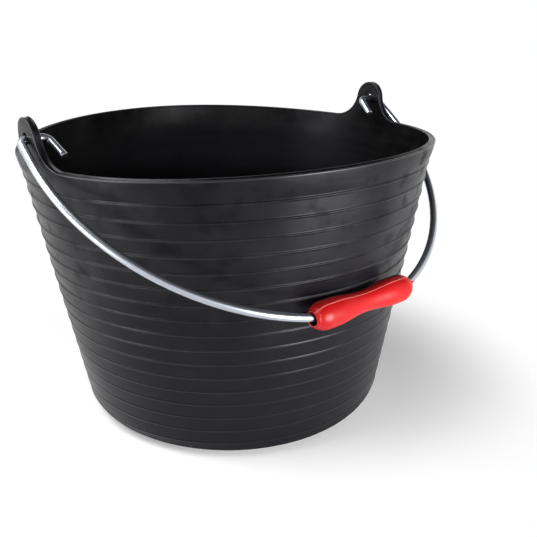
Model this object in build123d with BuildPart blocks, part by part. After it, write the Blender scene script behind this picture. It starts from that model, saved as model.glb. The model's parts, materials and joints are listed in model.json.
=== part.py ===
from build123d import *
import os
from math import atan, cos, hypot, pi, radians, sin, sqrt

# Moulded body: a ribbed cone, measured on its outer face between the ribs
bucket_height = 226.0  # foot to the top of the level rim
wall_base_r = 126.0  # cone carried down to the foot
wall_top_r = 163.2  # cone carried up to the level rim
wall_t = 4.0
floor_t = 4.5
foot_r = 15.0  # rounding between the wall and the foot, outside
foot_flats = 3  # flats that make up that rounding

# Ribs that run round the wall, each of two sloping flats
bead_count = 17
bead_pitch = 12.17
bead_width = 2.8
bead_height = 0.8
top_bead_drop = 17.2  # top of the rim to the crest of the highest rib

# Rim: the wall flares out over the plain band above the ribs
rim_flare = 1.6  # beyond the cone carried up
rim_t = 5.2  # rim and ears, measured level
rim_flare_h = 10.0
rim_land = 3.0  # above the flare, where the ears grow from
rim_edge = 0.8  # bevel on the edges of the rim and the ears

# Ears: the rim carried up at both ends of X, with a hole for the bail
ear_lean = 1.4  # top of the ear beyond the rim
ear_r = 13.4  # rounded top, about the hole
ear_root_r = 32.0  # hollow curve from the rim into the ear
ear_hole_rise = 15.0  # rim to the middle of the hole
ear_hole_r = 4.0

# Bail: one bent wire, resting on the lower edge of both holes
wire_d = 6.0
wire_seat_gap = 0.3  # wire to the lower edge of the hole
wire_ear_gap = 3.8  # wire to the outer face of an ear, at its top
bend_r = 5.5  # middle of the wire in the sharp bends beside the ears
hook_gap = 2.1  # inner face of the ear to the start of the hook
hook_turn = 77.0  # degrees that the hook is bent down
hook_tail = 15.8  # straight end of the hook
straight_half = 28.0  # half of the straight stretch inside the grip
shoulder_r = 77.0  # gentle bends where the wire leaves the grip
shoulder_turn = 19.2  # degrees
bail_lean = 54.5  # degrees from straight down, where the grip comes to the wall

# Grip: a hollow moulding with a narrow waist, free to turn on the wire
grip_half = 47.5
grip_waist_r = 7.9
grip_bulge_r = 10.3
grip_bulge_x = 28.0  # middle of the grip to where the bulge begins
grip_crown_r = 60.0  # bulge, along the grip
grip_dome_r = 15.0  # rounded ends
grip_lip = 0.9  # flat ring round the bore, at both ends
grip_bore_gap = 0.5  # wire to the bore where they come closest
grip_rest_gap = 1.4  # line of the rib crests to the waist of the grip

# Places that follow from the sizes above
wall_slope = (wall_top_r - wall_base_r) / bucket_height
wall_angle = atan(wall_slope)
wall_level_t = wall_t / cos(wall_angle)  # wall measured level
ear_hole_z = bucket_height + ear_hole_rise
ear_top_z = ear_hole_z + ear_r
rim_r = wall_top_r + rim_flare
land_z = bucket_height - rim_land
flare_z = land_z - rim_flare_h
root_z = bucket_height + ear_root_r
root_y = sqrt((ear_r + ear_root_r) ** 2 - (root_z - ear_hole_z) ** 2)
cut_y = rim_r + ear_lean + ear_r  # reach of the cuts, past the rim
cut_z = ear_top_z + ear_r
wire_r = wire_d / 2
bail_z = ear_hole_z - (ear_hole_r - wire_r - wire_seat_gap)


def wall_r(z):
    """Outer radius of the plain cone at a height."""
    return wall_base_r + wall_slope * z


def rounded_foot(radius, floor_z, inset):
    """Points up the rounding from a floor level into the wall, which lies inset from the outer cone."""
    middle_r = wall_r(floor_z + radius) - inset - radius / cos(wall_angle)
    turns = [(pi / 2 - wall_angle) * flat / foot_flats for flat in range(foot_flats + 1)]
    return [(middle_r + radius * sin(turn), floor_z + radius * (1 - cos(turn))) for turn in turns]


def ear_r_at(z):
    """Radius of the outer face of the land and the ears at a height."""
    return rim_r + ear_lean * (z - land_z) / (ear_top_z - land_z)


# Body: the ribbed shell turned about Z, cut along the rim line so that the ears are left standing
with BuildPart() as bucket_body:
    with BuildSketch(Plane.XZ):
        with BuildLine():
            outer_foot = rounded_foot(foot_r, 0, 0)
            inner_foot = rounded_foot(foot_r - wall_t, floor_t, wall_level_t)
            Polyline((0, 0), *outer_foot)
            below = outer_foot[-1]
            for bead in reversed(range(bead_count)):
                bead_z = bucket_height - top_bead_drop - bead * bead_pitch
                low_z = bead_z - bead_width / 2
                high_z = bead_z + bead_width / 2
                if low_z < below[1]:
                    continue  # no rib on the rounding of the foot
                Polyline(
                    below,
                    (wall_r(low_z), low_z),
                    (wall_r(bead_z) + bead_height, bead_z),
                    (wall_r(high_z), high_z),
                )
                below = (wall_r(high_z), high_z)
            Polyline(
                below,
                (wall_r(flare_z), flare_z),
                (rim_r, land_z),
                (ear_r_at(ear_top_z), ear_top_z),
                (ear_r_at(ear_top_z) - rim_t, ear_top_z),
                (rim_r - rim_t, land_z),
                (wall_r(flare_z) - wall_level_t, flare_z),
                *reversed(inner_foot),
                (0, floor_t),
                (0, 0),
            )
        make_face()
    revolve(axis=Axis.Z)
    with BuildSketch(Plane.YZ):
        with BuildLine():
            share = ear_r / (ear_r + ear_root_r)
            ear_side = (share * root_y, ear_hole_z + share * (root_z - ear_hole_z))
            Line((cut_y, bucket_height), (root_y, bucket_height))
            TangentArc((root_y, bucket_height), ear_side, tangent=(-1, 0))
            TangentArc((0, ear_top_z), ear_side, tangent=(1, 0))
            Line((0, ear_top_z), (0, cut_z))
            Polyline((0, cut_z), (cut_y, cut_z), (cut_y, bucket_height))
        make_face()
        mirror(about=Plane.YZ)
    extrude(amount=cut_y, both=True, mode=Mode.SUBTRACT)
    level_rim = bucket_body.faces().filter_by(Axis.Z).group_by(Axis.Z)[-1]
    ear_rims = bucket_body.faces().filter_by(GeomType.CYLINDER)
    chamfer((level_rim + ear_rims).edges().filter_by(GeomType.LINE, reverse=True), rim_edge)
    with BuildSketch(Plane.YZ):
        with Locations((0, ear_hole_z)):
            Circle(ear_hole_r)
    extrude(amount=cut_y, both=True, mode=Mode.SUBTRACT)
bucket_body.part.label = "bucket_body"

# The bail lies in a plane through the ear holes, leaning out until the grip clears the ribs
lean = radians(bail_lean)
bail_plane = Plane(origin=(0, 0, bail_z), x_dir=(1, 0, 0), z_dir=(0, cos(lean), -sin(lean)))
grip_arm = (
    wall_base_r + bead_height + wall_slope * bail_z
    + (grip_waist_r + grip_rest_gap) * hypot(1, wall_slope)
) / (hypot(1, wall_slope) * sin(lean + wall_angle))  # ear holes to the middle of the grip
shoulder_lift = shoulder_r - sqrt(shoulder_r**2 - (grip_half - straight_half) ** 2)
wire_reach = grip_arm + shoulder_lift / 2  # ear holes to the straight stretch
leg_x = ear_r_at(ear_top_z) + wire_ear_gap + wire_r
hook_x = ear_r_at(bail_z) - rim_t - hook_gap
shoulder_end_x = straight_half + shoulder_r * sin(radians(shoulder_turn))
bow_r = (leg_x - shoulder_end_x) / (1 - sin(radians(shoulder_turn)))

# Bail: half of the bow is swept from the middle of the grip to the end of the hook, then mirrored
with BuildPart() as bail_wire:
    with BuildLine(bail_plane) as half_bail:
        straight = Line((0, wire_reach), (straight_half, wire_reach))
        shoulder = JernArc(straight @ 1, straight % 1, shoulder_r, -shoulder_turn)
        bow = JernArc(shoulder @ 1, shoulder % 1, bow_r, shoulder_turn - 90)
        leg = Line(bow @ 1, (leg_x, bend_r))
        neck = JernArc(leg @ 1, leg % 1, bend_r, -90)
        pin = Line(neck @ 1, (hook_x, 0))
        hook = JernArc(pin @ 1, pin % 1, bend_r, -hook_turn)
        tail = Line(hook @ 1, (hook @ 1) + (hook % 1) * hook_tail)
    with BuildSketch(Plane(origin=straight @ 0, z_dir=(1, 0, 0))):
        Circle(wire_r)
    sweep(path=half_bail.wire())
    mirror(about=Plane.YZ)
bail_wire.part.label = "bail_wire"

# Grip: turned about its own axis, with a hollow waist curve running into the bulged ends
grip_plane = bail_plane.shift_origin(bail_plane.from_local_coords((0, grip_arm, 0)))
grip_bore_r = wire_r + shoulder_lift / 2 + grip_bore_gap
grip_mouth_r = grip_bore_r + grip_lip
bulge_rise = grip_bulge_r - grip_waist_r
curve_radii = (grip_bulge_x**2 + bulge_rise**2) / (2 * bulge_rise)
waist_curve_r = curve_radii - grip_crown_r
meet = waist_curve_r / curve_radii  # share of the rise where the two curves meet
meet_point = (meet * grip_bulge_x, grip_waist_r + meet * bulge_rise)
dome_mid_r = grip_bulge_r - grip_dome_r
dome_run = sqrt(grip_dome_r**2 - (grip_mouth_r - dome_mid_r) ** 2)
dome_x = grip_half - dome_run

with BuildPart() as handle_grip:
    with BuildSketch(grip_plane):
        with BuildLine():
            Line((0, grip_bore_r), (0, grip_waist_r))
            TangentArc((0, grip_waist_r), meet_point, tangent=(1, 0))
            TangentArc((grip_bulge_x, grip_bulge_r), meet_point, tangent=(-1, 0))
            Line((grip_bulge_x, grip_bulge_r), (dome_x, grip_bulge_r))
            TangentArc((dome_x, grip_bulge_r), (grip_half, grip_mouth_r), tangent=(1, 0))
            Polyline((grip_half, grip_mouth_r), (grip_half, grip_bore_r), (0, grip_bore_r))
        make_face()
    revolve(axis=Axis(grip_plane.origin, (1, 0, 0)))
    mirror(about=Plane.YZ)
handle_grip.part.label = "handle_grip"

os.makedirs("parts", exist_ok=True)
export_step(bucket_body.part, "parts/bucket_body.step")
export_step(bail_wire.part, "parts/bail_wire.step")
export_step(handle_grip.part, "parts/handle_grip.step")
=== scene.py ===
import json

import bpy
import numpy as np
from mathutils import Matrix, Vector


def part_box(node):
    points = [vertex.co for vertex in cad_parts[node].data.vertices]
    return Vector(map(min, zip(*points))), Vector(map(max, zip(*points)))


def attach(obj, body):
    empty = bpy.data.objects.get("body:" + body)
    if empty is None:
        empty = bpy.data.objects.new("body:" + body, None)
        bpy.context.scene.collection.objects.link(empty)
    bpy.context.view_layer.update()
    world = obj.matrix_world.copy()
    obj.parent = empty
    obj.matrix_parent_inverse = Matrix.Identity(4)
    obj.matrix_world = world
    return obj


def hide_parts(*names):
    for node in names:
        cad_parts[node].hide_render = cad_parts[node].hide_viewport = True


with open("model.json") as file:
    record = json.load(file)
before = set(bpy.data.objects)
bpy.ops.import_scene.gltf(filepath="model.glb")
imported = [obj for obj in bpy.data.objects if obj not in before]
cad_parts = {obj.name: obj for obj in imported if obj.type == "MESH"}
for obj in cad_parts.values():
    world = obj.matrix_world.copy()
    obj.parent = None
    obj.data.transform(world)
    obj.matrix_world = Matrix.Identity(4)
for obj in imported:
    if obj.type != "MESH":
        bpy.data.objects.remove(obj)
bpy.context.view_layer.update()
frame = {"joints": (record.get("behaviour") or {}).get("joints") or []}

# Bucket body. The tub is one moulding of black, slightly rubbery plastic: a ribbed cone on a rounded
# foot, a rim that flares a little, and two ears grown out of the rim. It comes satin out of the mould
# and has gone a little out of true since: the rim is lower at the ears than between them.
rim_z = 0.226
cone_foot_r = 0.126
cone_rim_r = 0.1632
wall_t = 0.00405
floor_t = 0.0045
foot_r = 0.0170
foot_r_swing = 0.0030  # more at the ears, less between them
foot_edge_z = 0.0105  # rows of the foot end here and rows of the wall begin
foot_gap = 0.001  # from there to the lowest row of the wall, at least
rib_count = 17
rib_pitch = 0.01217
rib_half = 0.0011
rib_proud = 0.0008
low_rib_share = 0.35  # of the height of a rib, near the foot
rib_fade_z = 0.04
rib_fade_h = 0.12
top_rib_z = rim_z - 0.0172
rim_r = 0.1648
rim_t = 0.0052
rim_edge_r = 0.0007
rim_edge_rows = 5
rim_edge_drop = 0.0012  # depth of a row on the outer face, below the rounded edge
rim_groove = 0.0009
groove_from = 0.0009  # inset of the groove's upper and lower edge
groove_to = 0.0012
rim_slope = 0.0009
rim_foot_z = 0.223
outer_flare_z = 0.2102
inner_flare_z = 0.165
flare_top_z = 0.2262
ear_lean = 0.04
ear_r = 0.0145
ear_root_r = 0.024
ear_hole_r = 0.004
ear_hole_z = 0.241
ear_fade_h = 0.012  # the rim's groove and slope fade over this rise into an ear
ear_fade = 0.65
hole_edge_r = 0.0006
hole_edge_rows = 3
saddle = 0.0032
oval = 0.02
wall_wave = 0.0005
disc_r = 0.02  # smallest ring of the foot and the floor, round the middle
inner_gap = 0.008  # rounding of the floor to the lowest row of the inner wall

# How finely it is divided: steps along the rim, rows of the band, and cells from the middle of a hole
column_step = 0.0052
ear_column_step = 0.0013
band_rows = 36
band_edge = 0.0026
band_start = 1.9  # in half widths of a rib, above the top crest
hole_half = 5
hole_reach = 2.6  # of hole_half, where the cells round a hole are no longer drawn round
least = 1e-6  # keeps the cell in the middle of a hole from dividing by nothing
inner_wall_rows = 18


def smooth_step(t):
    """Goes from 0 to 1 as t does, with a level start and end: 3 t squared less 2 t cubed."""
    t = np.clip(t, 0, 1)
    return t * t * (3 - 2 * t)


def cone_radius(z):
    """Outer face of the plain cone: a straight line from the foot to the rim."""
    return cone_foot_r + (cone_rim_r - cone_foot_r) * z / rim_z


def rib_height(z):
    """Each rib is two flats that meet at its crest: 1 less the distance from the crest in half widths.

    Low on the wall, the ribs stand less proud.
    """
    nearest = np.clip(np.round((top_rib_z - z) / rib_pitch), 0, rib_count - 1)
    u = np.clip((z - (top_rib_z - nearest * rib_pitch)) / rib_half, -1, 1)
    fade = low_rib_share + (1 - low_rib_share) * smooth_step((z - rib_fade_z) / rib_fade_h)
    return rib_proud * (1 - abs(u)) * fade


def sag(phi, z):
    """How far the wall has sunk: twice round, lowest at the ears, and growing as the square of the height."""
    return saddle * np.cos(2 * phi) * np.clip(z / rim_z, 0, 1) ** 2


def flare(moulded_z, low_z):
    """Share of the way from the cone to the rim's own face: a straight rise between two heights."""
    return np.clip((moulded_z - low_z) / (flare_top_z - low_z), 0, 1)


def shell_radius(phi, moulded_z, z, share):
    """Cone going over into the leaning face of the rim and the ears, with a slow wave between the ears.

    The wave is two sines, of three and of five turns, out of step with each other.
    """
    face = rim_r + ear_lean * (z - rim_foot_z)
    wave = np.sin(3 * phi + 0.7) + 0.6 * np.sin(5 * phi + 2.0)
    lean = cone_radius(moulded_z) + (face - cone_radius(moulded_z)) * share
    return lean + wall_wave * wave * np.sin(phi) ** 2 * np.clip(z / rim_z, 0, 1)


def outer_radius(phi, moulded_z, z):
    """Outer face, which flares above the top rib."""
    return shell_radius(phi, moulded_z, z, flare(moulded_z, outer_flare_z))


def inner_radius(phi, moulded_z, z):
    """Inner face, which flares over a longer way, less a thickness that grows from wall to rim."""
    share = smooth_step(flare(moulded_z, inner_flare_z))
    return shell_radius(phi, moulded_z, z, share) - wall_t - (rim_t - wall_t) * share


def in_space(phi, z, r):
    """Points from an angle, a height and a radius, drawn out a little along the line of the ears."""
    return np.stack([(1 + oval) * r * np.cos(phi), r * np.sin(phi), z], axis=-1)


def rim_line():
    """Columns round the bucket: angle on the wall, angle and height on the rim, and the rim's normal.

    A quarter is an arc over the ear hole, a hollow arc down to the rim, and the rim itself, walked in equal
    steps, then mirrored about the ear and turned half round. The normal leans by the angle of the arcs.
    """
    ear_rim_z = rim_z - sag(np.arcsin((ear_r + ear_root_r) / rim_r), rim_z)
    root_z = ear_rim_z + ear_root_r
    root_y = np.sqrt((ear_r + ear_root_r) ** 2 - (root_z - ear_hole_z) ** 2)
    turn = np.arctan2(root_y, root_z - ear_hole_z)
    top_length = ear_r * turn
    ear_length = top_length + ear_root_r * turn
    root_phi = np.arcsin(root_y / rim_r)
    s = np.linspace(0, ear_length, int(ear_length / ear_column_step) + 1)
    on_top = np.minimum(s, top_length) / ear_r
    in_root = turn - np.maximum(s - top_length, 0) / ear_root_r
    rising = s < top_length
    y = np.where(rising, ear_r * np.sin(on_top), root_y - ear_root_r * np.sin(in_root))
    z = np.where(rising, ear_hole_z + ear_r * np.cos(on_top), root_z - ear_root_r * np.cos(in_root))
    lean = np.where(rising, on_top, in_root)
    level = np.linspace(root_phi, np.pi / 2, int((np.pi / 2 - root_phi) * rim_r / column_step) + 1)[1:]

    def all_round(ear_part, level_part, sign, turn_by):
        """A quarter's values, mirrored with a sign and repeated with an angle added."""
        quarter = np.concatenate([ear_part, level_part])
        half = np.concatenate([sign * quarter[:0:-1], quarter])
        return np.concatenate([half, half[1:-1] + turn_by])

    return (
        all_round(s / ear_length * root_phi, level, -1, np.pi),
        all_round(np.arcsin(y / rim_r), level, -1, np.pi),
        all_round(z, rim_z - sag(level, rim_z), 1, 0),
        all_round(np.sin(lean), 0 * level, -1, 0),
        all_round(np.cos(lean), 0 * level + 1, 1, 0),
    )


def wall_rows(heights, face):
    """Level rows of the wall's outer or inner face: each sinks with the sag."""
    phi, moulded_z = np.meshgrid(wall_phi, heights)
    z = moulded_z - sag(phi, moulded_z)
    return phi, z, face(phi, moulded_z, z)


def foot_circle(phi, mean_r, floor_z, inset):
    """Rounding between a floor level and the wall, larger at the ears.

    Gives its radius, how far out its middle lies, and its rise where it touches the slope of the wall.
    """
    slope = np.arctan((cone_rim_r - cone_foot_r) / rim_z)
    radius = mean_r + foot_r_swing * np.cos(2 * phi)
    middle_r = cone_radius(floor_z + radius) - inset - radius / np.cos(slope)
    return radius, middle_r, radius * (1 - np.sin(slope))


def foot_cut(phi, z):
    """How far the rounding of the foot lies inside the cone at a height: the cone less the circle."""
    radius, middle_r, touch_z = foot_circle(phi, foot_r, 0.0, 0.0)
    circle = middle_r + np.sqrt(np.maximum(radius ** 2 - (radius - z) ** 2, 0))
    return np.where(z < touch_z, cone_radius(z) - circle, 0)


def foot_rows(mean_r, floor_z, inset, top_z, steps):
    """Rows up the rounding from a floor level to a height above it, in equal turns of its circle."""
    phi = np.broadcast_to(wall_phi, (steps, columns))
    radius, middle_r, touch_z = foot_circle(phi, mean_r, floor_z, inset)
    turn = np.arccos(1 - np.minimum(top_z, touch_z) / radius) * np.linspace(0, 1, steps)[:, None]
    return phi, floor_z + radius * (1 - np.cos(turn)), middle_r + radius * np.sin(turn)


def disc_rows(from_r, to_r, z, steps):
    """Level rings of the floor or the foot, evenly from one radius to another, without the last."""
    radii = np.linspace(from_r, to_r, steps + 1)[:-1, None]
    phi = np.broadcast_to(wall_phi, (steps, columns))
    return phi, z + 0 * phi, radii + 0 * phi


def turned_back(rows):
    """The same rows in the other order, for the way down inside."""
    return tuple(part[::-1] for part in rows)


def band_grid():
    """Angles and heights of the band between the top rib and the rim, the same for both faces.

    Rows are spaced evenly from the wall to a line just inside the rim, along each column.
    Round each ear hole, a square of cells is drawn out to a circle, fading over the cells around it.
    """
    phi_low, z_low, _ = wall_rows([band_low_z], outer_radius)
    edge_phi = rim_phi - normal_phi * band_edge / rim_r
    edge_z = rim_h - normal_z * band_edge
    share = np.linspace(0, 1, band_rows + 1)[1:, None]
    phi = phi_low + (edge_phi - phi_low) * share
    z = z_low + (edge_z - z_low) * share
    for ear in ear_columns:
        u, v = np.meshgrid(np.arange(columns) - ear, np.arange(band_rows) - hole_row)
        u, v = u / hole_half, v / hole_half
        ring = np.maximum(np.maximum(abs(u), abs(v)), least)
        reach = ring * (ear_hole_r + hole_edge_r) / np.maximum(np.hypot(u, v), least)
        pull = smooth_step((hole_reach - ring) / (hole_reach - 1))
        phi += pull * (wall_phi[ear] + u * reach / rim_r - phi)
        z += pull * (ear_hole_z + v * reach - z)
    return phi, z


def edge_rows():
    """Rows over the rim: up outside, round the outer edge, over a groove, round the inner edge, down inside.

    Each row is a depth along the rim's normal and an inset from the outer face. The top slopes down outwards.
    Both the groove and the slope are less on the ears.
    """
    turn = np.linspace(0, np.pi / 2, rim_edge_rows)
    on_ear = smooth_step((rim_h - rim_z) / ear_fade_h)
    depth = np.concatenate([[rim_edge_drop], rim_edge_r * (1 - np.sin(turn)), [0.0, 0.0, 0.0]])
    groove = np.concatenate([0 * depth[:-2], [rim_groove, rim_groove]])
    inset = np.concatenate([[0.0], rim_edge_r * (1 - np.cos(turn)), [groove_from, groove_to, rim_t / 2]])
    depth = np.concatenate([depth, depth[-2::-1]])[:, None]
    groove = np.concatenate([groove, groove[-2::-1]])[:, None]
    inset = np.concatenate([inset, rim_t - inset[-2::-1]])[:, None]
    depth = depth + (groove + rim_slope * (1 - inset / rim_t)) * (1 - ear_fade * on_ear)
    phi = rim_phi - normal_phi * depth / rim_r
    z = rim_h - normal_z * depth
    outer = outer_radius(phi, z + sag(phi, z), z)
    return phi, z, outer - (outer - inner_radius(phi, z + sag(phi, z), z)) * inset / rim_t


wall_phi, rim_phi, rim_h, normal_phi, normal_z = rim_line()
columns = len(wall_phi)
ear_columns = (columns // 4, columns // 4 + columns // 2)
band_low_z = top_rib_z + band_start * rib_half
ear_low_z = band_low_z - sag(0, band_low_z)
hole_share = (ear_hole_z - ear_low_z) / (ear_hole_z + ear_r - band_edge - ear_low_z)
hole_row = int(round(hole_share * band_rows)) - 1

# Rows of the outer wall: seven across each rib, and one close by on each side that keeps the wall flat
rib_z = top_rib_z - rib_pitch * np.arange(rib_count)[::-1, None]
across_rib = rib_half * np.array([-1.35, -1, -0.78, -0.25, 0, 0.25, 0.78, 1, 1.35])
outer_z = (rib_z + across_rib).ravel()
outer_z = outer_z[outer_z > foot_edge_z + foot_gap]
outer_phi, outer_sunk_z, outer_r = wall_rows(outer_z, outer_radius)
outer_r = outer_r + rib_height(outer_z)[:, None] - foot_cut(outer_phi, outer_z[:, None])
outer_foot = foot_rows(foot_r, 0.0, 0.0, foot_edge_z, steps=9)

# The other rows, and all of them in order: from the middle of the foot up outside and down inside
band_phi, band_z = band_grid()
band_moulded_z = band_z + sag(band_phi, band_z)
band_outer_r = outer_radius(band_phi, band_moulded_z, band_z)
band_inner_r = inner_radius(band_phi, band_moulded_z, band_z)
inner_foot = foot_rows(foot_r - wall_t, floor_t, wall_t, np.inf, steps=8)
inner_z = np.linspace(band_low_z, inner_foot[1].max() + inner_gap, inner_wall_rows)
body_rows = [
    disc_rows(disc_r, outer_foot[2].min(), 0.0, steps=5),
    outer_foot,
    (outer_phi, outer_sunk_z, outer_r),
    (band_phi, band_z, band_outer_r),
    edge_rows(),
    turned_back((band_phi, band_z, band_inner_r)),
    wall_rows(inner_z, inner_radius),
    turned_back(inner_foot),
    turned_back(disc_rows(disc_r, inner_foot[2].min(), floor_t, steps=6)),
]
first_rows = np.cumsum([0] + [len(rows[0]) for rows in body_rows])
outer_row, band_row, rim_row, inner_row = first_rows[2:6]
body_phi, body_z, body_r = (np.concatenate([rows[k] for rows in body_rows]) for k in range(3))
body_grid = np.arange(body_phi.size).reshape(body_phi.shape)


def grid_faces(grid):
    """Quads between neighbouring rows and columns of a grid of vertex numbers, closed round the columns.

    They face the cross product of the way along a row and the way to the next row.
    """
    beside = np.roll(grid, -1, axis=1)
    return np.stack([grid[:-1], beside[:-1], beside[1:], grid[1:]], axis=-1)


def new_piece(name, points, faces, body, node):
    """A smooth mesh object from points and faces, which stands for a CAD node and rides on its body."""
    mesh = bpy.data.meshes.new(name)
    mesh.from_pydata(points.tolist(), [], faces)
    mesh.shade_smooth()
    piece = bpy.data.objects.new(name, mesh)
    bpy.context.scene.collection.objects.link(piece)
    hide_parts(node)
    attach(piece, body)
    return piece


def ear_hole(ear, start):
    """New points and faces of one hole: rings from the outer face to the inner one, round at both ends."""
    side = np.arange(-hole_half, hole_half)
    flat = np.full(2 * hole_half, hole_half)
    u = np.concatenate([side, flat, -side, -flat])
    v = np.concatenate([-flat, side, flat, -side])
    turn = np.linspace(0, np.pi / 2, hole_edge_rows + 1)[1:]
    radius = ear_hole_r + hole_edge_r * (1 - np.sin(turn))
    inset = hole_edge_r * (1 - np.cos(turn))
    radius = np.concatenate([radius, radius[::-1]])[:, None]
    inset = np.concatenate([inset, rim_t - inset[::-1]])[:, None]
    length = np.hypot(u, v)
    phi = wall_phi[ear] + u / length * radius / rim_r
    z = ear_hole_z + v / length * radius
    r = outer_radius(phi, z + sag(phi, z), z) - inset
    outer_ring = body_grid[band_row + hole_row + v, ear + u]
    inner_ring = body_grid[inner_row + band_rows - 1 - hole_row - v, ear + u]
    rings = np.vstack([outer_ring, start + np.arange(phi.size).reshape(phi.shape), inner_ring])
    return in_space(phi, z, r).reshape(-1, 3), grid_faces(rings).reshape(-1, 4)


body_faces = grid_faces(body_grid)
kept = np.ones(body_faces.shape[:2], bool)
for ear in ear_columns:
    for middle_row in (band_row + hole_row, inner_row + band_rows - 1 - hole_row):
        kept[middle_row - hole_half:middle_row + hole_half, ear - hole_half:ear + hole_half] = False
body_points = [in_space(body_phi, body_z, body_r).reshape(-1, 3)]
body_quads = [body_faces[kept]]
for ear in ear_columns:
    points, faces = ear_hole(ear, sum(map(len, body_points)))
    body_points.append(points)
    body_quads.append(faces)
poles = sum(map(len, body_points)) + np.arange(2)
body_points.append(np.array([[0, 0, 0], [0, 0, floor_t]]))
first_ring, last_ring = body_grid[[0, -1]]
low_fan = np.stack([np.full(columns, poles[0]), np.roll(first_ring, -1), first_ring], axis=-1)
high_fan = np.stack([np.full(columns, poles[1]), last_ring, np.roll(last_ring, -1)], axis=-1)
bucket_body = new_piece(
    "bucket_body_moulding",
    np.concatenate(body_points),
    np.concatenate(body_quads).tolist() + low_fan.tolist() + high_fan.tolist(),
    "bucket", "bucket_body",
)

# Where the body shows its use: crests and rim edges that wear, a wall that is handled, a foot that is
# scuffed, and a band inside the rim that is rubbed. The rim edges also carry a painted highlight, and the
# inside mask carries painted shade. Each is a mask from 0 to 1, with 0 in the holes and poles.
handled_z = 0.07
handled_h = 0.08
scuffed_z = 0.003
scuffed_h = 0.013
rubbed_z = 0.196
rubbed_h = 0.030
on_crest = np.zeros(body_phi.shape)
on_crest[outer_row:band_row] = rib_height(outer_z)[:, None] / rib_proud
on_edge = np.zeros(body_phi.shape)
on_edge[rim_row + 1:rim_row + 1 + rim_edge_rows] = 1.0
on_edge[inner_row - 1 - rim_edge_rows:inner_row - 1] = 1.0
on_inside = np.zeros(body_phi.shape)
on_inside[inner_row:] = 1.0
body_masks = {
    "crest": on_crest,
    "edge": on_edge,
    "handled": smooth_step((body_z - handled_z) / handled_h),
    "scuffed": (1 - on_inside) * (1 - smooth_step((body_z - scuffed_z) / scuffed_h)),
    "rubbed": on_inside * smooth_step((body_z - rubbed_z) / rubbed_h),
    "inside": on_inside,
}


def add_mask(piece, name, values):
    """A number at every vertex, for the material to read as an attribute."""
    piece.data.attributes.new(name, "FLOAT", "POINT").data.foreach_set("value", values.astype(np.float32))


beyond_grid = np.zeros(len(bucket_body.data.vertices) - body_phi.size)
for name, values in body_masks.items():
    add_mask(bucket_body, name, np.concatenate([values.ravel(), beyond_grid]))


def add_node(tree, kind, inputs, **settings):
    """A shader node with its settings, whose inputs are set to a value or linked from another output."""
    made = tree.nodes.new(kind)
    for name, value in settings.items():
        setattr(made, name, value)
    for name, value in inputs.items():
        if isinstance(value, bpy.types.NodeSocket):
            tree.links.new(value, made.inputs[name])
        else:
            made.inputs[name].default_value = value
    return made


def noise(tree, place, scale, detail, roughness=0.5):
    """Cloudy noise about one half: the larger its scale, the finer, and more detail roughens it."""
    return add_node(tree, "ShaderNodeTexNoise", {
        "Vector": place, "Scale": scale, "Detail": detail, "Roughness": roughness}).outputs["Fac"]


def stretched(tree, value, none_at, full_at):
    """A mask: 0 at one value, 1 at another, straight between them and level beyond them."""
    return add_node(tree, "ShaderNodeMapRange", {
        "Value": value, "From Min": none_at, "From Max": full_at}).outputs["Result"]


def between(tree, mask, without, full):
    """A number that goes straight from one to another as a mask goes from 0 to 1."""
    return add_node(tree, "ShaderNodeMapRange", {
        "Value": mask, "To Min": without, "To Max": full}).outputs["Result"]


def tinted(tree, mask, without, full):
    """A colour that goes straight from one to another as a mask goes from 0 to 1."""
    return add_node(tree, "ShaderNodeMix", {0: mask, 6: without, 7: full}, data_type="RGBA").outputs[2]


def product(tree, first, second):
    """Two numbers multiplied."""
    return add_node(tree, "ShaderNodeMath", {0: first, 1: second}, operation="MULTIPLY").outputs["Value"]


def raised(tree, base, mask, most):
    """A number with a share of a mask added: base + most times mask."""
    return add_node(tree, "ShaderNodeMath", {
        0: mask, 1: most, 2: base}, operation="MULTIPLY_ADD").outputs["Value"]


def read_mask(tree, name):
    """A mask of the mesh, by its name."""
    return add_node(tree, "ShaderNodeAttribute", {}, attribute_name=name).outputs["Fac"]


def object_place(tree):
    """Place on the piece, in metres of the bucket's frame."""
    return add_node(tree, "ShaderNodeTexCoord", {}).outputs["Object"]


def new_material(name):
    """An empty node material and its tree."""
    material = bpy.data.materials.new(name)
    material.use_nodes = True
    material.node_tree.nodes.clear()
    return material, material.node_tree


def dress(piece, material, surface):
    """Ends a material in a shader and puts it on a piece or on the floor."""
    output = material.node_tree.nodes.new("ShaderNodeOutputMaterial")
    material.node_tree.links.new(surface, output.inputs["Surface"])
    piece.data.materials.append(material)


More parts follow.
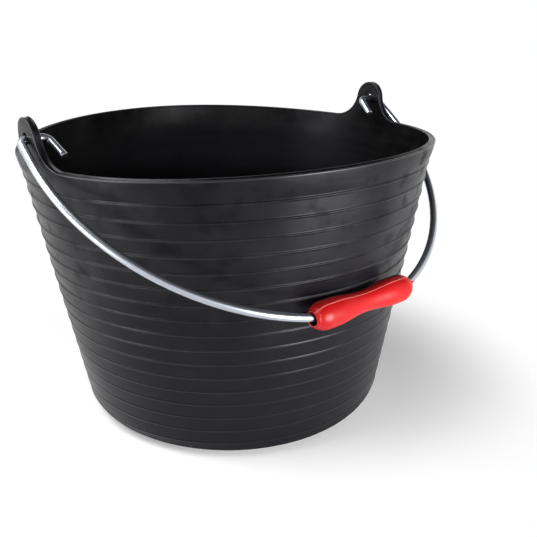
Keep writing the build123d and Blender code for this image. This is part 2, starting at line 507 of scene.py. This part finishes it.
def moulded_skin():
    """Shader group of both plastics: masks from noise at four scales, and the normal of a fine grain.

    Bloom is cloudy, Wiped is finer and drawn out level, Smudges are rare blots, Specks are small dots.
    """
    group = bpy.data.node_groups.new("moulded_skin", "ShaderNodeTree")
    group.interface.new_socket("Place", in_out="INPUT", socket_type="NodeSocketVector")
    for name in ("Bloom", "Wiped", "Smudges", "Specks"):
        group.interface.new_socket(name, in_out="OUTPUT", socket_type="NodeSocketFloat")
    group.interface.new_socket("Normal", in_out="OUTPUT", socket_type="NodeSocketVector")
    place = group.nodes.new("NodeGroupInput").outputs["Place"]
    output = group.nodes.new("NodeGroupOutput")
    level = add_node(group, "ShaderNodeVectorMath", {0: place, 1: (1.0, 1.0, 9.0)}, operation="MULTIPLY")
    cloud = noise(group, place, scale=20.0, detail=5.0, roughness=0.55)
    wiped = noise(group, level.outputs["Vector"], scale=24.0, detail=5.0, roughness=0.6)
    blots = noise(group, place, scale=62.0, detail=2.0)
    dots = add_node(group, "ShaderNodeTexVoronoi", {"Vector": place, "Scale": 260.0, "Randomness": 1.0})
    grain = noise(group, place, scale=620.0, detail=2.0)
    bump = add_node(group, "ShaderNodeBump", {"Height": grain, "Strength": 0.16, "Distance": 0.0002})
    for name, source in (
        ("Bloom", stretched(group, cloud, none_at=0.34, full_at=0.70)),
        ("Wiped", stretched(group, wiped, none_at=0.36, full_at=0.68)),
        ("Smudges", stretched(group, blots, none_at=0.55, full_at=0.70)),
        ("Specks", stretched(group, dots.outputs["Distance"], none_at=0.10, full_at=0.05)),
        ("Normal", bump.outputs["Normal"]),
    ):
        group.links.new(source, output.inputs[name])
    return group


# Black plastic: colours and gloss from the skin's masks and from the marks of use above, with painted shade
# inside the bucket and a painted highlight along the rim's edges
outside_black = (0.0038, 0.0037, 0.0049, 1)
# Painted shade: the inside's black is darker than the outside's
inside_painted_shade_black = (0.0015, 0.0018, 0.0016, 1)
dull_black = (0.0070, 0.0068, 0.0086, 1)
crest_grey = (0.0230, 0.0228, 0.0260, 1)
dust_grey = (0.0450, 0.0450, 0.0480, 1)
# Partly edge wear, partly a painted highlight along the rim's rounded edges
edge_wear_and_highlight_grey = (0.0150, 0.0150, 0.0170, 1)
wiped_rough = 0.29
dull_rough = 0.42
smudge_rough = 0.14
scuffed_rough = 0.8
clean_gloss = 0.10
bloom_gloss = 0.36
low_gloss = 0.12
smudge_gloss = 0.03
inside_gloss = 0.03
rubbed_gloss = 0.85
edge_gloss = 0.6

body_plastic, tree = new_material("body_plastic")
skin = add_node(tree, "ShaderNodeGroup", {"Place": object_place(tree)}, node_tree=moulded_skin()).outputs
edge = read_mask(tree, "edge")
handled = read_mask(tree, "handled")
inside = read_mask(tree, "inside")
scuffed = read_mask(tree, "scuffed")
smudges = product(tree, skin["Smudges"], handled)
# Painted shade: the inside of the bucket is a darker black than the outside
colour = tinted(tree, inside, outside_black, inside_painted_shade_black)
colour = tinted(tree, product(tree, skin["Bloom"], skin["Wiped"]), colour, dull_black)
colour = tinted(tree, product(tree, skin["Bloom"], read_mask(tree, "crest")), colour, crest_grey)
colour = tinted(tree, product(tree, skin["Specks"], skin["Bloom"]), colour, dust_grey)
# Painted highlight, partly edge wear: the rim's rounded edges are a paler grey
colour = tinted(tree, edge, colour, edge_wear_and_highlight_grey)
rough = raised(tree, between(tree, skin["Wiped"], wiped_rough, dull_rough), smudges, smudge_rough)
rough = between(tree, scuffed, rough, scuffed_rough)
gloss = between(tree, handled, low_gloss, between(tree, skin["Bloom"], clean_gloss, bloom_gloss))
gloss = between(tree, smudges, gloss, smudge_gloss)
rubbed = between(tree, skin["Bloom"], clean_gloss, rubbed_gloss)
gloss = between(tree, inside, gloss, between(tree, read_mask(tree, "rubbed"), inside_gloss, rubbed))
gloss = between(tree, scuffed, gloss, 0.0)
gloss = between(tree, edge, gloss, edge_gloss)
shader = add_node(tree, "ShaderNodeBsdfPrincipled", {
    "Base Color": colour, "Roughness": rough, "Normal": skin["Normal"],
    "Specular IOR Level": 0.105, "Specular Tint": (0.84, 0.82, 1.0, 1),
    "Coat Weight": gloss, "Coat Roughness": 0.34,
})
dress(bucket_body, body_plastic, shader.outputs["BSDF"])

# Bail. One length of bright zinc-plated steel wire, bent to a bow: each end goes through an ear from
# outside and is turned down inside the bucket, so that it can't pull out, and is cut square.
wire_r = 0.003
bend_r = 0.0055
hook_turn = np.radians(77)
hook_tail = 0.0158
straight_half = 0.028
shoulder_r = 0.077
shoulder_turn = np.radians(19.2)
bail_lean = np.radians(54.5)
wire_reach = 0.19448
leg_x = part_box("bail_wire")[1][0] - wire_r
hook_x = 0.15827
end_chamfer = 0.0004
wire_sides = 28
streak_rate = 4  # the wire's length is counted in quarters of a metre along its streaks
hinge = np.array(frame["joints"][0]["pos_m"])


def arc(start, heading, radius, turn, steps):
    """Points along a circle that leaves start at a heading and turns by an angle, without the start."""
    share = np.linspace(0, 1, steps + 1)[1:]
    side = np.sign(turn)
    middle = start + radius * side * np.array([-np.sin(heading), np.cos(heading)])
    angle = heading + turn * share
    return middle + radius * side * np.stack([np.sin(angle), -np.cos(angle)], axis=-1)


def run(start, end, steps):
    """Points along a straight line, without the start."""
    return start + (end - start) * np.linspace(0, 1, steps + 1)[1:, None]


def half_bail():
    """Half of the bail in its own plane, along the ears and away from them: straight, shoulder, bow, hook."""
    straight = run(np.array([0.0, wire_reach]), np.array([straight_half, wire_reach]), steps=10)
    shoulder = arc(straight[-1], 0.0, shoulder_r, -shoulder_turn, steps=12)
    bow_r = (leg_x - shoulder[-1][0]) / (1 - np.sin(shoulder_turn))
    bow = arc(shoulder[-1], -shoulder_turn, bow_r, shoulder_turn - np.pi / 2, steps=60)
    leg = run(bow[-1], np.array([leg_x, bend_r]), steps=8)
    neck = arc(leg[-1], -np.pi / 2, bend_r, -np.pi / 2, steps=10)
    pin = run(neck[-1], np.array([hook_x, 0.0]), steps=5)
    hook = arc(pin[-1], np.pi, bend_r, -hook_turn, steps=9)
    tail_way = np.array([-np.cos(hook_turn), np.sin(hook_turn)])
    tail = run(hook[-1], hook[-1] + hook_tail * tail_way, steps=6)
    return np.concatenate([straight, shoulder, bow, leg, neck, pin, hook, tail])


def on_bail_plane(flat, height):
    """Points of the bail's plane, and a height above it, in the bucket's frame."""
    along_ears = np.array([1.0, 0.0, 0.0])
    away_from_ears = np.array([0.0, -np.sin(bail_lean), -np.cos(bail_lean)])
    upright = np.array([0.0, np.cos(bail_lean), -np.sin(bail_lean)])
    return hinge + flat[..., :1] * along_ears + flat[..., 1:] * away_from_ears + height * upright


# The wire is a circle carried along its line, a little smaller at both ends
half = half_bail()
line = np.concatenate([half[::-1] * [-1, 1], [[0.0, wire_reach]], half])
ahead = np.gradient(line, axis=0)
ahead /= np.linalg.norm(ahead, axis=1, keepdims=True)
first_cut = line[:1] + ahead[:1] * end_chamfer
last_cut = line[-1:] - ahead[-1:] * end_chamfer
line = np.concatenate([line[:1], first_cut, line[1:-1], last_cut, line[-1:]])
ahead = np.concatenate([ahead[:1], ahead, ahead[-1:]])
across = np.stack([-ahead[:, 1], ahead[:, 0]], axis=-1)
tube_r = np.full(len(line), wire_r)
tube_r[[0, -1]] -= end_chamfer
round_wire = np.linspace(0, 2 * np.pi, wire_sides, endpoint=False)
flat = line[:, None] + across[:, None] * (tube_r[:, None] * np.cos(round_wire))[..., None]
tube = on_bail_plane(flat, (tube_r[:, None] * np.sin(round_wire))[..., None])
tube_grid = np.arange(tube.shape[0] * tube.shape[1]).reshape(tube.shape[:2])
caps = [tube_grid[0][::-1].tolist(), tube_grid[-1].tolist()]
bail_wire = new_piece(
    "bail_wire_bow", tube.reshape(-1, 3),
    grid_faces(tube_grid).reshape(-1, 4).tolist() + caps,
    "bail", "bail_wire",
)

# Place on the drawn wire for its streaks, once round and along its length, and the cut ends
along = np.concatenate([[0], np.cumsum(np.linalg.norm(np.diff(line, axis=0), axis=1))])
wire_place = np.stack(np.broadcast_arrays(
    np.cos(round_wire), np.sin(round_wire), streak_rate * along[:, None]), axis=-1)
drawn_place = bail_wire.data.attributes.new("drawn", "FLOAT_VECTOR", "POINT")
drawn_place.data.foreach_set("vector", wire_place.ravel().astype(np.float32))
cut_ends = np.zeros(tube.shape[:2])
cut_ends[[0, -1]] = 1.0
add_mask(bail_wire, "cut", cut_ends.ravel())

# Zinc: bright, with duller streaks along the wire and a few spots, and grey steel where it is cut
bright_zinc = (0.53, 0.565, 0.625, 1)
dull_zinc = (0.44, 0.47, 0.52, 1)
cut_steel = (0.24, 0.24, 0.25, 1)
bright_rough = 0.28
streak_rough = 0.35
cut_rough = 0.55
spot_share = 0.3

wire_steel, tree = new_material("wire_steel")
drawn = add_node(tree, "ShaderNodeAttribute", {}, attribute_name="drawn").outputs["Vector"]
cut = read_mask(tree, "cut")
streaks = noise(tree, drawn, scale=4.0, detail=2.0)
spots = noise(tree, object_place(tree), scale=90.0, detail=1.0)
dull = stretched(tree, raised(tree, streaks, spots, spot_share), none_at=0.52, full_at=0.88)
bump = add_node(tree, "ShaderNodeBump", {"Height": streaks, "Strength": 0.01, "Distance": 0.0002})
shader = add_node(tree, "ShaderNodeBsdfPrincipled", {
    "Base Color": tinted(tree, cut, tinted(tree, dull, bright_zinc, dull_zinc), cut_steel),
    "Metallic": 1.0,
    "Roughness": between(tree, cut, between(tree, dull, bright_rough, streak_rough), cut_rough),
    "Normal": bump.outputs["Normal"],
})
dress(bail_wire, wire_steel, shader.outputs["BSDF"])

# Grip. A hollow red moulding on the middle of the bail, narrow at the waist and round at both ends, made
# in two mould halves: a fine parting line runs along both sides of it, and the lips round the bore are
# ragged where the flash was torn off. It turns freely on the wire.
grip_half = 0.0475
grip_waist_r = 0.0079
grip_bulge_r = 0.0103
grip_bulge_x = 0.028
grip_rise_power = 1.25
grip_dome_r = 0.015
grip_mouth_r = 0.00565
grip_bore_r = 0.00475
grip_bore_end = 0.00465
lip_round = 0.0002
grip_slide = 0.0008  # off the middle of the bail, to the left
collar_r = 0.0073
collar_half = 0.0004
collar_groove = 0.00035
collar_ragged = 0.5  # of its depth, more and less
collar_torn = 0.6  # how torn it looks on the whole
seam_turn = np.radians(114)
seam_half = 0.00034
seam_proud = 0.00022
flash_turn = np.radians(140)
flash_half = 0.13
flash_reach = 0.0026
right_tear_h = 0.00022
left_tear_h = 0.00030
tear_spread = 0.3  # of a tear's reach, outwards
grip_columns = 84
half_grip_rows = 46
grip_middle = np.array(frame["joints"][1]["pos_m"]) - [grip_slide, 0, 0]


def grip_radius(x):
    """Outer radius along the grip: a smooth rise from the waist to the bulge, then a round end."""
    dome_mid = grip_bulge_r - grip_dome_r
    dome_x = grip_half - np.sqrt(grip_dome_r ** 2 - (grip_mouth_r - dome_mid) ** 2)
    rise = grip_waist_r + (grip_bulge_r - grip_waist_r) * smooth_step(x / grip_bulge_x) ** grip_rise_power
    past = np.clip(x - dome_x, 0, grip_dome_r)
    return rise + np.sqrt(grip_dome_r ** 2 - past ** 2) - grip_dome_r


def ragged(turn, side):
    """Torn edge round a lip, about -1 to 1: the mean of five waves that don't line up, times 1.6."""
    waves = np.array([3, 7, 12, 19, 31])[:, None]
    return np.mean(np.sin(waves * turn + side * waves ** 1.5), axis=0) * 1.6


def near_turn(turn, middle, half):
    """Falls from 1 at an angle to 0 away from it, as a bell curve of the half width."""
    off = (turn - middle + np.pi) % (2 * np.pi) - np.pi
    return np.exp(-(off / half) ** 2)


# Skin: turned about the wire, with more columns beside the parting lines, and a torn collar at both ends
seam_half_turn = seam_half / grip_bulge_r
even = np.linspace(0, 2 * np.pi, grip_columns, endpoint=False)
beside_seam = np.array([-2.4, -1.6, -0.9, 0, 0.9, 1.6, 2.4]) * seam_half_turn
round_grip = np.sort(np.concatenate([even, seam_turn + beside_seam, seam_turn + np.pi + beside_seam]))
half_x = grip_half * np.sin(np.linspace(0, np.pi / 2, half_grip_rows))
grip_x = np.concatenate([-half_x[:0:-1], half_x])
grip_r = grip_radius(abs(grip_x))
on_collar = np.exp(-((grip_r - collar_r) / collar_half) ** 2) * (abs(grip_x) > grip_bulge_x)
on_seam = sum(near_turn(round_grip, turn, seam_half_turn) for turn in (seam_turn, seam_turn + np.pi))
right_ragged = ragged(round_grip, 1)
left_ragged = ragged(round_grip, -1)
ragged_skin = np.where(grip_x[:, None] > 0, right_ragged, left_ragged)
collar_depth = collar_groove * on_collar[:, None] * (1 + collar_ragged * ragged_skin)
skin_r = grip_r[:, None] + seam_proud * on_seam - collar_depth

# Lips: from the end of the skin over a torn edge and into the bore, at both ends
lip_x = np.array([0.0003, 0.0002, -0.0003, -0.0012, -0.008])[:, None]
lip_r = np.array([
    grip_mouth_r - lip_round, grip_bore_end + lip_round, grip_bore_end, grip_bore_end, grip_bore_r])[:, None]
lip_torn = np.array([1.0, 1.0, 0.3, 0.0, 0.0])[:, None]
flash = flash_reach * near_turn(round_grip, flash_turn, flash_half)
right_tear = lip_torn * (right_tear_h * right_ragged + flash)
left_tear = lip_torn * left_tear_h * left_ragged
left_x = -grip_half - lip_x - left_tear
left_r = lip_r + tear_spread * left_tear
right_x = grip_half + lip_x + right_tear
right_r = lip_r + tear_spread * abs(right_tear)
all_x = np.concatenate([left_x[::-1], grip_x[:, None] + 0 * round_grip, right_x])
all_r = np.concatenate([left_r[::-1], skin_r, right_r])
grip_points = grip_middle + np.stack([all_x, all_r * np.cos(round_grip), all_r * np.sin(round_grip)], axis=-1)
grip_grid = np.arange(all_x.size).reshape(all_x.shape)
grip_faces = np.concatenate([grid_faces(grip_grid), grid_faces(grip_grid[[-1, 0]])])
handle_grip = new_piece(
    "handle_grip_moulding", grip_points.reshape(-1, 3), grip_faces.reshape(-1, 4).tolist(),
    "grip", "handle_grip",
)
lips = np.ones((len(lip_x), len(round_grip)))
# Painted shade inside the bore, 1 past the lips
bore_painted_shade = 1 - lip_torn * lips
torn_collar = on_collar[:, None] * np.clip(collar_torn + ragged_skin, 0, 1)
add_mask(handle_grip, "seam", np.concatenate([0 * lips, on_seam + 0 * skin_r, 0 * lips]).ravel())
add_mask(handle_grip, "bore", np.concatenate([bore_painted_shade[::-1], 0 * skin_r, bore_painted_shade]).ravel())
add_mask(handle_grip, "torn", np.concatenate([lips, torn_collar, lips]).ravel())

# Red plastic: cloudy, paler where it is torn and along the parting lines, and dark red in the bore as painted
# shade
deep_red = (0.32, 0.0034, 0.0044, 1)
bloom_red = (0.39, 0.0060, 0.0070, 1)
torn_red = (0.80, 0.0800, 0.0700, 1)
seam_pink = (0.90, 0.3000, 0.2700, 1)
bore_painted_shade_red = (0.0500, 0.0020, 0.0025, 1)
seam_worn = 0.6
grip_wiped_rough = 0.30
grip_dull_rough = 0.44

grip_plastic, tree = new_material("grip_plastic")
skin = add_node(tree, "ShaderNodeGroup", {
    "Place": object_place(tree)}, node_tree=bpy.data.node_groups["moulded_skin"]).outputs
colour = tinted(tree, skin["Bloom"], deep_red, bloom_red)
colour = tinted(tree, product(tree, skin["Bloom"], read_mask(tree, "torn")), colour, torn_red)
colour = tinted(tree, product(tree, read_mask(tree, "seam"), seam_worn), colour, seam_pink)
# Painted shade: the bore is dark red
colour = tinted(tree, read_mask(tree, "bore"), colour, bore_painted_shade_red)
shader = add_node(tree, "ShaderNodeBsdfPrincipled", {
    "Base Color": colour,
    "Roughness": between(tree, skin["Wiped"], grip_wiped_rough, grip_dull_rough),
    "Normal": skin["Normal"],
    "Specular IOR Level": 0.25,
})
dress(handle_grip, grip_plastic, shader.outputs["BSDF"])

# Stage. A plain pale floor that turns up into a backdrop all round, white from a little way off, with a
# soft box high at the left and a small low card on either side of the camera.
floor_rings = [0.02, 1.0]  # on the flat, with the smallest filled in
floor_flat_r = 5.0
floor_bend_r = 1.5
floor_top_z = 4.0
white_from_r = 0.14
white_to_r = 0.30
near_haze = 0.22
floor_columns = 96
bend_rows = 13
floor_grey = (0.9, 0.9, 0.9, 1)
pure_white = (1, 1, 1, 1)
bend = np.linspace(0, np.pi / 2, bend_rows)
backdrop_r = floor_flat_r + floor_bend_r
floor_r = np.concatenate([floor_rings, floor_flat_r + floor_bend_r * np.sin(bend), [backdrop_r]])[:, None]
floor_h = np.concatenate([[0.0, 0.0], floor_bend_r * (1 - np.cos(bend)), [floor_top_z]])[:, None]
round_floor = np.linspace(0, 2 * np.pi, floor_columns, endpoint=False)
floor_points = np.stack(np.broadcast_arrays(
    floor_r * np.cos(round_floor), floor_r * np.sin(round_floor), floor_h), axis=-1)
floor_grid = np.arange(floor_points[..., 0].size).reshape(floor_points.shape[:2])
floor_faces = grid_faces(floor_grid[:, ::-1]).reshape(-1, 4).tolist() + [floor_grid[0].tolist()]
floor = bpy.data.objects.new("floor", bpy.data.meshes.new("floor"))
floor.data.from_pydata(floor_points.reshape(-1, 3).tolist(), [], floor_faces)
floor.data.shade_smooth()
bpy.context.scene.collection.objects.link(floor)

# The floor is lit near the bucket, with a little haze, and goes over into white, for rays that see it
pale_floor, tree = new_material("pale_floor")
away = add_node(tree, "ShaderNodeVectorMath", {0: object_place(tree)}, operation="LENGTH").outputs["Value"]
far = add_node(tree, "ShaderNodeMapRange", {
    "Value": away, "From Min": white_from_r, "From Max": white_to_r}, interpolation_type="SMOOTHSTEP")
rays = add_node(tree, "ShaderNodeLightPath", {}).outputs
seen = rays["Is Camera Ray"]
for kind in ("Is Glossy Ray", "Is Transmission Ray"):
    seen = add_node(tree, "ShaderNodeMath", {0: seen, 1: rays[kind]}, operation="MAXIMUM").outputs["Value"]
lit = add_node(tree, "ShaderNodeBsdfDiffuse", {"Color": floor_grey})
haze = add_node(tree, "ShaderNodeEmission", {"Color": pure_white, "Strength": product(tree, seen, near_haze)})
hazy = add_node(tree, "ShaderNodeAddShader", {0: lit.outputs["BSDF"], 1: haze.outputs["Emission"]})
glow = add_node(tree, "ShaderNodeEmission", {"Color": pure_white, "Strength": 1.0})
surface = add_node(tree, "ShaderNodeMixShader", {
    0: product(tree, seen, far.outputs["Result"]), 1: hazy.outputs["Shader"], 2: glow.outputs["Emission"]})
dress(floor, pale_floor, surface.outputs["Shader"])


def soft_box(name, place, target, size, watts, spread):
    """A flat lamp of a width and a height at a place, turned to face a target, with its beam's angle."""
    lamp = bpy.data.lights.new(name, "AREA")
    lamp.shape = "RECTANGLE"
    lamp.size, lamp.size_y = size
    lamp.energy = watts
    lamp.spread = np.radians(spread)
    box = bpy.data.objects.new(name, lamp)
    box.location = place
    box.rotation_euler = (Vector(target) - Vector(place)).to_track_quat("-Z", "Y").to_euler()
    box.visible_camera = False
    bpy.context.scene.collection.objects.link(box)


soft_box(
    "high_left_box", place=(-0.7872, 0.3472, 1.3287), target=(0, 0, 0.12),
    size=(0.9, 0.9), watts=20, spread=180)
soft_box(
    "low_right_card", place=(0.0398, -0.4783, 0.1350), target=(0, 0, 0.135),
    size=(0.24, 0.23), watts=0.74, spread=80)
soft_box(
    "low_left_card", place=(-0.6130, 0.0948, 0.1550), target=(0, 0, 0.155),
    size=(0.46, 0.36), watts=0.60, spread=70)

world = bpy.data.worlds.new("studio")
world.use_nodes = True
bpy.context.scene.world = world
background = world.node_tree.nodes["Background"].inputs
background["Color"].default_value = pure_white
background["Strength"].default_value = 0.1

# The camera looks down at the bucket from its left front, and leans a little
camera_place = (-0.3366, -0.4693, 0.3257)
camera_roll = np.radians(-0.273)
camera = bpy.data.objects.new("camera", bpy.data.cameras.new("camera"))
camera.data.lens = 46.84
camera.data.sensor_width = 36
sight = Vector((0.5857, 0.7284, -0.3554)).normalized()
level_right = Vector((0.7793, -0.6266, 0)).normalized()
level_up = level_right.cross(sight)
right = np.cos(camera_roll) * level_right + np.sin(camera_roll) * level_up
above = np.cos(camera_roll) * level_up - np.sin(camera_roll) * level_right
turned = Matrix((right, above, -sight)).transposed().to_4x4()
camera.matrix_world = Matrix.Translation(camera_place) @ turned
bpy.context.scene.collection.objects.link(camera)
bpy.context.scene.camera = camera
bpy.context.scene.view_settings.view_transform = "Standard"
